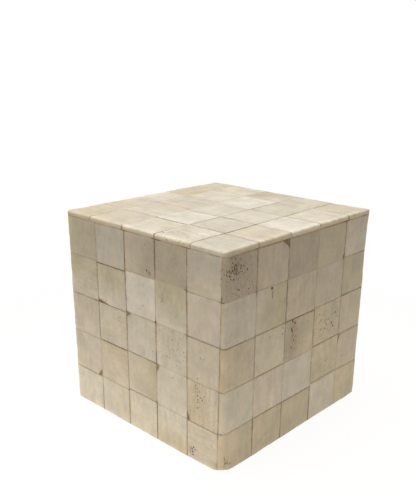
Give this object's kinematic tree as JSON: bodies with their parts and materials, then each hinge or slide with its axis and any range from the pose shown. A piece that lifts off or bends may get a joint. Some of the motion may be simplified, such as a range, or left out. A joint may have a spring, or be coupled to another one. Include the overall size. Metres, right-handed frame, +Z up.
{
  "type": "cube paperweight",
  "caption": "Cube paperweight: polished square bone slips with brown resin joints cover every face of a solid wooden core block that rests on its flat underside.",
  "frame": {"origin": "centre of the underside, on the plane it rests on", "axes": "+Z up through the block, -Y out of the front face, +X out of the right face"},
  "size_m": [0.1, 0.1024, 0.098],
  "materials": {
    "bone": "satin",
    "core_wood": "sawn, unfinished",
    "joint_resin": "sanded brown resin filler"
  },
  "bodies": {
    "root": {"back_bone_column_1": "bone", "back_bone_column_2": "bone", "back_bone_column_3": "bone", "back_bone_column_4": "bone", "back_bone_column_5": "bone", "front_bone_column_1": "bone", "front_bone_column_2": "bone", "front_bone_column_3": "bone", "front_bone_column_4": "bone", "front_bone_column_5": "bone", "left_bone_column_1": "bone", "left_bone_column_2": "bone", "left_bone_column_3": "bone", "left_bone_column_4": "bone", "left_bone_column_5": "bone", "right_bone_column_1": "bone", "right_bone_column_2": "bone", "right_bone_column_3": "bone", "right_bone_column_4": "bone", "right_bone_column_5": "bone", "top_bone_column_1": "bone", "top_bone_column_2": "bone", "top_bone_column_3": "bone", "top_bone_column_4": "bone", "top_bone_column_5": "bone", "underside_bone_column_1": "bone", "underside_bone_column_2": "bone", "underside_bone_column_3": "bone", "underside_bone_column_4": "bone", "underside_bone_column_5": "bone", "core_block": "core_wood", "joint_resin": "joint_resin"}
  },
  "joints": []
}
